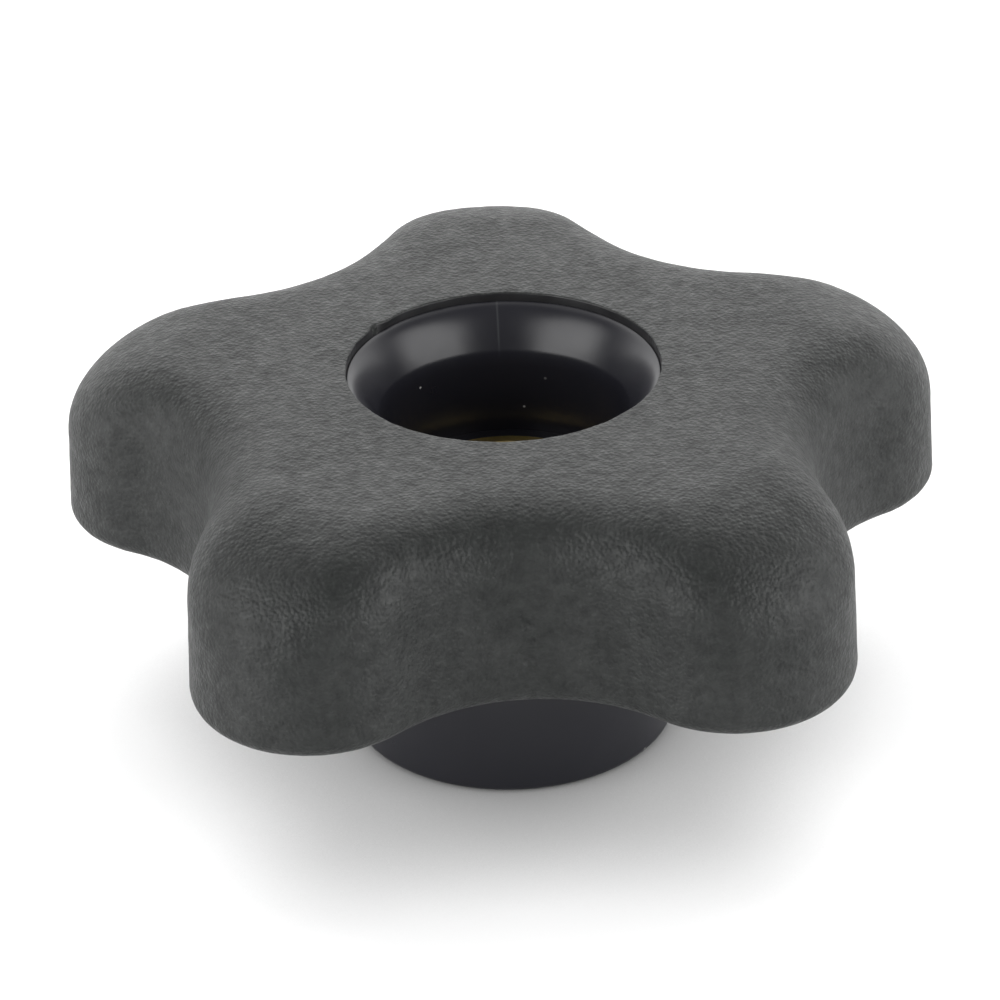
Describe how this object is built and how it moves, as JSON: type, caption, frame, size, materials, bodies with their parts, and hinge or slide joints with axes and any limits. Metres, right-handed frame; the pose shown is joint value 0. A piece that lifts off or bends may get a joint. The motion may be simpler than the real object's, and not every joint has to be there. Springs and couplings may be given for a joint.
{
  "type": "star knob nut",
  "caption": "Lobed clamping nut, turned by hand: a lobed grip over a hub core with a round boss, a top recess and a threaded through bore.",
  "frame": {"origin": "on the thread's axis at the centroid of the solids, 14.45 mm above the seat face and 3.45 mm above the grip's underside", "axes": "+Z along the thread's axis, out of the recess; +Y through the middle of one lobe; +X completes the right-handed frame"},
  "size_m": [0.0482, 0.0465, 0.0215],
  "materials": {
    "grip_polymer": "matte, fine spark-eroded grain",
    "core_polymer": "smooth, semi-gloss",
    "insert_brass": "machined, slightly dulled"
  },
  "bodies": {
    "root": {"lobed_grip": "grip_polymer", "hub_core": "core_polymer", "threaded_insert": "insert_brass"}
  },
  "joints": []
}
